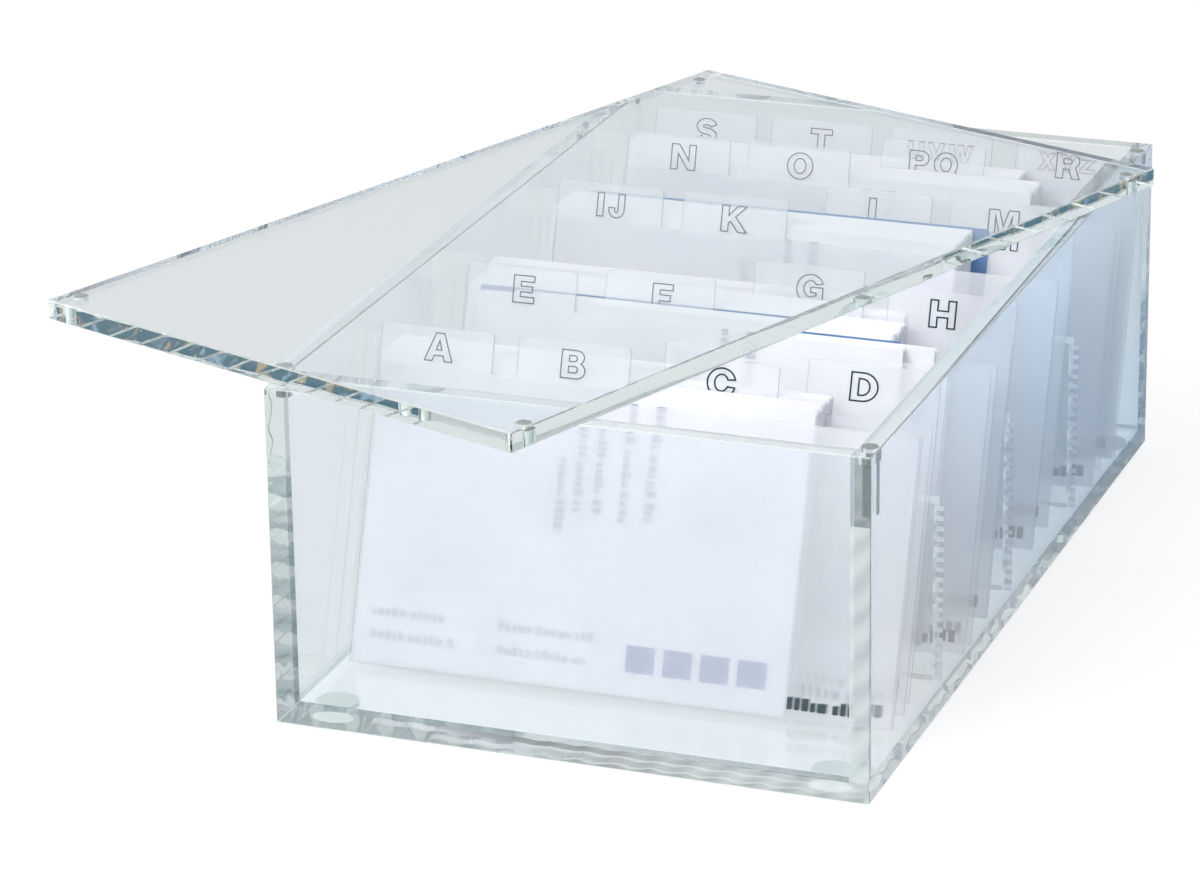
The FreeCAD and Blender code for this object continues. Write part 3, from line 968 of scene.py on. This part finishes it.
LETTERS = {
    "A": (1.0, [
        [(0, 0), (0.35, 1), (0.65, 1), (1, 0), (0.72, 0), (0.66, 0.2), (0.34, 0.2), (0.28, 0)],
        [(0.4, 0.4), (0.6, 0.4), (0.5, 0.74)],
    ]),
    "B": (0.86, [
        [(0, 0), (0, 1)] + arc(0.5, 0.74, 0.3, 0.26, 90, -50)
        + arc(0.54, 0.28, 0.32, 0.28, 50, -90),
        [(0.27, 0.6), (0.27, 0.81)] + arc(0.45, 0.705, 0.1, 0.105, 90, -90, 6),
        [(0.27, 0.2), (0.27, 0.43)] + arc(0.48, 0.315, 0.11, 0.115, 90, -90, 6),
    ]),
    "C": (0.98, [
        arc(0.5, 0.5, 0.5, 0.52, 16, 344, 26) + arc(0.5, 0.5, 0.24, 0.3, 336, 24, 18),
    ]),
    "D": (0.94, [
        [(0, 0), (0, 1)] + arc(0.42, 0.5, 0.52, 0.5, 90, -90, 16),
        [(0.27, 0.21), (0.27, 0.79)] + arc(0.4, 0.5, 0.26, 0.29, 90, -90, 12),
    ]),
    "E": (0.78, [[
        (0, 0), (0, 1), (0.76, 1), (0.76, 0.78), (0.27, 0.78), (0.27, 0.61), (0.7, 0.61),
        (0.7, 0.4), (0.27, 0.4), (0.27, 0.22), (0.78, 0.22), (0.78, 0),
    ]]),
    "F": (0.74, [[
        (0, 0), (0, 1), (0.74, 1), (0.74, 0.78), (0.27, 0.78), (0.27, 0.6), (0.66, 0.6),
        (0.66, 0.38), (0.27, 0.38), (0.27, 0),
    ]]),
    "G": (1.0, [
        arc(0.5, 0.5, 0.5, 0.52, 24, 302, 24) + [(0.96, 0.08), (0.96, 0.56), (0.52, 0.56)]
        + [(0.52, 0.36), (0.72, 0.36), (0.72, 0.25)] + arc(0.5, 0.5, 0.24, 0.3, 298, 32, 18),
    ]),
    "H": (0.92, [[
        (0, 0), (0, 1), (0.27, 1), (0.27, 0.62), (0.65, 0.62), (0.65, 1), (0.92, 1), (0.92, 0),
        (0.65, 0), (0.65, 0.38), (0.27, 0.38), (0.27, 0),
    ]]),
    "I": (0.27, [[(0, 0), (0, 1), (0.27, 1), (0.27, 0)]]),
    "J": (0.66, [
        [(0.39, 1), (0.66, 1)] + arc(0.33, 0.32, 0.33, 0.34, 0, -180, 12) + [(0, 0.4), (0.25, 0.4)]
        + arc(0.32, 0.3, 0.07, 0.1, 180, 360, 6),
    ]),
    "K": (0.98, [[
        (0, 0), (0, 1), (0.27, 1), (0.27, 0.62), (0.6, 1), (0.94, 1), (0.53, 0.58), (0.98, 0),
        (0.65, 0), (0.35, 0.4), (0.27, 0.32), (0.27, 0),
    ]]),
    "L": (0.72, [[(0, 0), (0, 1), (0.27, 1), (0.27, 0.22), (0.72, 0.22), (0.72, 0)]]),
    "M": (1.12, [[
        (0, 0), (0, 1), (0.38, 1), (0.56, 0.38), (0.74, 1), (1.12, 1), (1.12, 0), (0.87, 0),
        (0.87, 0.74), (0.66, 0), (0.46, 0), (0.25, 0.74), (0.25, 0),
    ]]),
    "N": (0.96, [[
        (0, 0), (0, 1), (0.29, 1), (0.7, 0.38), (0.7, 1), (0.96, 1), (0.96, 0), (0.68, 0),
        (0.26, 0.64), (0.26, 0),
    ]]),
    "O": (1.0, [arc(0.5, 0.5, 0.5, 0.52, 0, 345, 23), arc(0.5, 0.5, 0.23, 0.3, 0, 340, 17)]),
    "P": (0.84, [
        [(0, 0), (0, 1)] + arc(0.5, 0.68, 0.34, 0.32, 90, -90, 12) + [(0.27, 0.36), (0.27, 0)],
        [(0.27, 0.57), (0.27, 0.79)] + arc(0.45, 0.68, 0.12, 0.11, 90, -90, 6),
    ]),
    "Q": (1.04, [
        arc(0.5, 0.5, 0.5, 0.52, -33, 294, 24) + [(0.86, -0.12), (1.04, 0.06)],
        arc(0.5, 0.5, 0.23, 0.3, 0, 340, 17),
    ]),
    "R": (0.92, [
        [(0, 0), (0, 1)] + arc(0.54, 0.7, 0.34, 0.3, 90, -55, 10)
        + [(0.92, 0), (0.62, 0), (0.48, 0.37), (0.27, 0.37), (0.27, 0)],
        [(0.27, 0.58), (0.27, 0.79)] + arc(0.48, 0.685, 0.11, 0.105, 90, -90, 6),
    ]),
    "S": (0.84, [
        swept(
            arc(0.42, 0.705, 0.28, 0.19, 12, 240, 14)
            + arc(0.42, 0.31, 0.29, 0.2, 62, -168, 14),
            0.125,
        ),
    ]),
    "T": (0.84, [[
        (0.285, 0), (0.285, 0.78), (0, 0.78), (0, 1), (0.84, 1), (0.84, 0.78), (0.555, 0.78),
        (0.555, 0),
    ]]),
    "U": (0.92, [
        [(0, 1), (0.27, 1)] + arc(0.46, 0.38, 0.19, 0.17, 180, 360, 8)
        + [(0.65, 1), (0.92, 1)] + arc(0.46, 0.37, 0.46, 0.39, 0, -180, 14),
    ]),
    "V": (0.96, [[(0, 1), (0.28, 1), (0.48, 0.34), (0.68, 1), (0.96, 1), (0.62, 0), (0.34, 0)]]),
    "W": (1.4, [[
        (0, 1), (0.27, 1), (0.42, 0.36), (0.57, 1), (0.83, 1), (0.98, 0.36), (1.13, 1), (1.4, 1),
        (1.12, 0), (0.85, 0), (0.7, 0.62), (0.55, 0), (0.28, 0),
    ]]),
    "X": (0.98, [[
        (0, 0), (0.33, 0.51), (0.02, 1), (0.33, 1), (0.49, 0.73), (0.65, 1), (0.96, 1),
        (0.65, 0.51), (0.98, 0), (0.66, 0), (0.49, 0.3), (0.31, 0),
    ]]),
    "Y": (0.94, [[
        (0.335, 0), (0.335, 0.38), (0, 1), (0.3, 1), (0.47, 0.62), (0.64, 1), (0.94, 1),
        (0.605, 0.38), (0.605, 0),
    ]]),
    "Z": (0.86, [[
        (0, 0), (0, 0.21), (0.5, 0.78), (0.04, 0.78), (0.04, 1), (0.84, 1), (0.84, 0.8),
        (0.34, 0.22), (0.86, 0.22), (0.86, 0),
    ]]),
}
print("capitals", "".join(LETTERS))

# %% a text in outlined letters
CAPITAL = 5.2 * MM
SHRINK = {1: 1.0, 2: 0.9, 3: 0.67}
LETTER_SPREAD = 1.06
LETTER_GAP = 0.24
LINE = 0.22 * MM
# Three tabs are printed with a heavier line.
BOLD_LINE = 0.31 * MM
BOLD = ("C", "D", "H")
INK_DEPTH = 0.03 * MM


def outlined(text, name):
    """Mesh of the hollow letters of a text, centred on x 0 and z 0, standing upright."""
    width = sum(LETTERS[letter][0] for letter in text) + LETTER_GAP * (len(text) - 1)
    capital = CAPITAL * SHRINK[len(text)]
    curve = bpy.data.curves.new(name, "CURVE")
    curve.dimensions = "2D"
    curve.fill_mode = "NONE"
    line = BOLD_LINE if text in BOLD else LINE
    curve.bevel_depth = line / 2 / capital
    curve.bevel_resolution = 1
    left = -width / 2
    for letter in text:
        advance, outlines = LETTERS[letter]
        for outline in outlines:
            spline = curve.splines.new("POLY")
            spline.points.add(len(outline) - 1)
            for point, (x, z) in zip(spline.points, outline):
                point.co = (left + x, z - 0.5, 0, 1)
            spline.use_cyclic_u = True
        left += advance + LETTER_GAP
    piece = bpy.data.objects.new(name, curve)
    scene.collection.objects.link(piece)
    activate(piece)
    bpy.ops.object.convert(target="MESH")
    piece = bpy.context.object
    flat = Matrix.Diagonal((capital * LETTER_SPREAD, capital, capital * INK_DEPTH / line, 1))
    piece.data.transform(Matrix.Rotation(math.radians(90), 4, "X") @ flat)
    return piece


print("capitals", round(CAPITAL * 1000, 1), "mm high")

# %% letters on the tabs
LETTER_LEVEL = 56.6 * MM
TAB_PITCH = 26.5 * MM
FIRST_TAB = -1.5  # pitches from the middle of the sheet
# The letters are set by hand, so some sit a little to one side: (across, up) in millimetres.
OFFSETS = {
    "A": (0.3, 0.6), "E": (0.35, 0.0), "F": (0.6, -0.25), "G": (0.4, -0.15), "K": (0.0, -0.45),
    "N": (0.95, -0.45), "O": (0.4, -0.15), "PQ": (0.3, 0.0),
}
letter_ink = new_material("letter_ink")
tree = letter_ink.node_tree
tone = ramp(
    tree, noise(tree, 1500.0, 3.0), (0.3, (0.002, 0.03, 0.045)), (0.7, (0.006, 0.045, 0.062))
)
ink = {"Base Color": tone, "Roughness": 0.5, "Specular IOR Level": 0.2}
surface(tree, node(tree, "BsdfPrincipled", ink))
for name, (column, text) in DIVIDERS.items():
    low, high = corners(name)
    place = leaning(name, (low.x + high.x) / 2)
    piece = outlined(text, name.replace("divider", "letters"))
    aside, up = OFFSETS.get(text, (0.0, 0.0))
    across = (column + FIRST_TAB) * TAB_PITCH + aside * MM
    piece.data.transform(place @ Matrix.Translation((across, -INK_DEPTH, LETTER_LEVEL + up * MM)))
    finish_piece(piece, letter_ink, name, slot="frosted_film")
print("letters on", len(DIVIDERS), "tabs")

# %% [markdown]
# ## Small print
#
# Each film carries a short line of small print near its lower right corner, and each card is
# printed with contact lines and a mark. The wording is left off: rows of plain blocks of about
# the same size and tone stand for it. A row is modelled once and copied.

# %% rows of print
# Widths and gaps of the blocks are shares of the height of the row.
BLOCK_WIDTH = (0.35, 0.75)
BLOCK_HEIGHTS = (0.72, 0.75, 1.0)
BLOCK_GAP = 0.22
WORD_GAP = 0.6
WORD = 5


def block_row(length, height, seed):
    """Blocks of one printed row, as (start, end, height), with wider gaps between words."""
    draw = random.Random(seed)
    blocks, start = [], 0.0
    while True:
        width = height * draw.uniform(*BLOCK_WIDTH)
        if start + width > length:
            return blocks
        blocks.append((start, start + width, height * draw.choice(BLOCK_HEIGHTS)))
        start += width + height * (BLOCK_GAP if len(blocks) % WORD else WORD_GAP)


def print_piece(name, rows):
    """Flat blocks on an upright sheet, from rows of millimetres.

    Each row is (x, z, length, height, turned, seed)."""
    mesh = bpy.data.meshes.new(name)
    piece = bpy.data.objects.new(name, mesh)
    scene.collection.objects.link(piece)
    activate(piece)
    bpy.ops.object.mode_set(mode="EDIT")
    for x, z, length, height, turned, seed in rows:
        for start, end, tall in block_row(length * MM, height * MM, seed):
            size = (end - start, INK_DEPTH, tall)
            middle = ((start + end) / 2, tall / 2)
            if turned:
                size = (tall, INK_DEPTH, end - start)
                middle = (tall / 2, -(start + end) / 2)
            place = (x * MM + middle[0], -INK_DEPTH / 2, z * MM + middle[1])
            bpy.ops.mesh.primitive_cube_add(size=1.0, location=place, scale=size)
    bpy.ops.object.mode_set(mode="OBJECT")
    return piece


# %% print on the film
FILM_ROWS = [(34.6, 2.0, 16.4, 2.2, False, 3)]
FILM_PRINT_FORWARD = 0.005 * MM
film_print = print_piece("film_print", FILM_ROWS)
forward = Matrix.Translation((0, -FILM_PRINT_FORWARD, 0))
for name in DIVIDERS:
    low, high = corners(name)
    place = leaning(name, (low.x + high.x) / 2)
    piece = copy_piece(film_print, name.replace("divider", "print"), place @ forward)
    finish_piece(piece, letter_ink, name, slot="frosted_film")
bpy.data.objects.remove(film_print)
print("film prints", len(DIVIDERS))

# %% [markdown]
# ## Cards
#
# A pack of cards is never quite square: each card sits a little higher or to one side. The CAD
# gives every card the same place, so the packs are built again here from single cards with
# small seeded shifts, each card inside its own slice of the pack.

# %% card finishes


def card_finish(name, dark, light):
    """Smooth card: faint fibres, and a slight change of tone from place to place."""
    material = new_material(name)
    tree = material.node_tree
    fibres = noise(tree, 2200.0, 5.0)
    bump = node(tree, "Bump", {"Height": fibres, "Strength": 0.25, "Distance": 0.02 * MM})
    values = {
        "Base Color": ramp(tree, noise(tree, 70.0), (0.3, dark), (0.7, light)),
        "Roughness": 0.6,
        "Normal": bump.outputs[0],
    }
    surface(tree, node(tree, "BsdfPrincipled", values))
    return material


white_card = card_finish("white_card", (0.86, 0.86, 0.89), (0.89, 0.89, 0.92))
blue_card = card_finish("blue_card", (0.10, 0.22, 0.45), (0.13, 0.26, 0.50))
print("card finishes white and blue")

# %% packs
CARD = (85.0 * MM, 0.28 * MM, 55.0 * MM)
CARD_STEP = 0.33 * MM
CORNER_CUT = 0.35 * MM
MOST_ASIDE = 0.3
MOST_UP = 0.2
PACKS = {
    "cards_b": 16, "cards_c": 11, "cards_e": 5, "cards_e_aside": 5, "blue_card_f": 1,
    "cards_f": 32, "cards_h": 9, "cards_k": 31, "blue_card_k": 1, "cards_o": 26, "cards_pq": 18,
}
# The blue cards stand a little above their neighbours.
RAISED = {"blue_card_f": 0.05 * MM, "blue_card_k": 0.35 * MM}
BLUE = [name for name in PACKS if name.startswith("blue")]
single = add_block("card", (0, 0, 0), CARD)
bevel_edges(
    single,
    lambda edge: abs(edge.verts[0].co.y - edge.verts[1].co.y) > CARD[1] / 2,
    CORNER_CUT,
    segments=1,
)
random.seed(11)
for name, count in PACKS.items():
    place = leaning(name, corners(name)[0].x)
    cards = []
    for index in range(count):
        aside = random.uniform(-MOST_ASIDE, MOST_ASIDE) * MM
        up = random.uniform(0.0, MOST_UP) * MM + RAISED.get(name, 0.0)
        along = index * CARD_STEP / math.cos(lean_of(name))
        shift = Matrix.Translation((aside, 0, up))
        settled = Matrix.Translation((0, along, 0)) @ place @ shift
        cards.append(copy_piece(single, "card", settled))
    material, slot = white_card, "white_card"
    if name in BLUE:
        material, slot = blue_card, "blue_card"
    finish_piece(join(cards, name + "_stack"), material, name, name, slot=slot)
bpy.data.objects.remove(single)
print("cards", sum(PACKS.values()))

# %% [markdown]
# ## Print on the front cards
#
# The white cards are printed alike, and only the front one of a pack shows its face. It has
# upright contact lines, two lower columns and a mark at the lower right. A picture could carry
# all this, but thin blocks keep the wording plain and need no file. They are modelled once and
# copied to the front of each white pack.

# %% print on the front cards
CARD_ROWS = [
    (54.6, 53.0, 22.0, 2.0, True, 5),
    (49.6, 53.0, 22.0, 1.8, True, 6),
    (44.4, 48.6, 17.0, 1.8, True, 7),
    (40.6, 48.2, 17.0, 1.8, True, 8),
    (37.2, 42.2, 14.0, 1.8, True, 9),
    (3.0, 9.0, 15.5, 1.8, False, 10),
    (3.2, 4.6, 18.0, 1.8, False, 11),
    (28.4, 9.0, 19.0, 1.8, False, 12),
    (28.6, 4.6, 17.5, 1.8, False, 13),
]
MARK_LEFTS = (53.8, 61.0, 68.2, 75.4)
MARK_WIDTH = 5.6
MARK_LOW = 4.4 * MM
MARK_HIGH = 9.4 * MM
CARD_PRINT_FORWARD = 0.01 * MM
grey_ink = card_finish("grey_ink", (0.40, 0.42, 0.49), (0.46, 0.48, 0.55))
mark_ink = card_finish("mark_ink", (0.07, 0.13, 0.36), (0.10, 0.17, 0.42))
card_print = print_piece("card_print", CARD_ROWS)
marks = [
    add_block("mark", (x * MM, -INK_DEPTH, MARK_LOW), ((x + MARK_WIDTH) * MM, 0, MARK_HIGH))
    for x in MARK_LEFTS
]
mark = join(marks, "mark")
forward = Matrix.Translation((0, -CARD_PRINT_FORWARD, 0))
printed = [name for name in PACKS if name not in BLUE]
for name in printed:
    place = leaning(name, corners(name)[0].x)
    for source, ending, ink in ((card_print, "_print", grey_ink), (mark, "_mark", mark_ink)):
        piece = copy_piece(source, name + ending, place @ forward)
        finish_piece(piece, ink, name, slot="white_card")
bpy.data.objects.remove(card_print)
bpy.data.objects.remove(mark)
print("printed packs", len(printed))
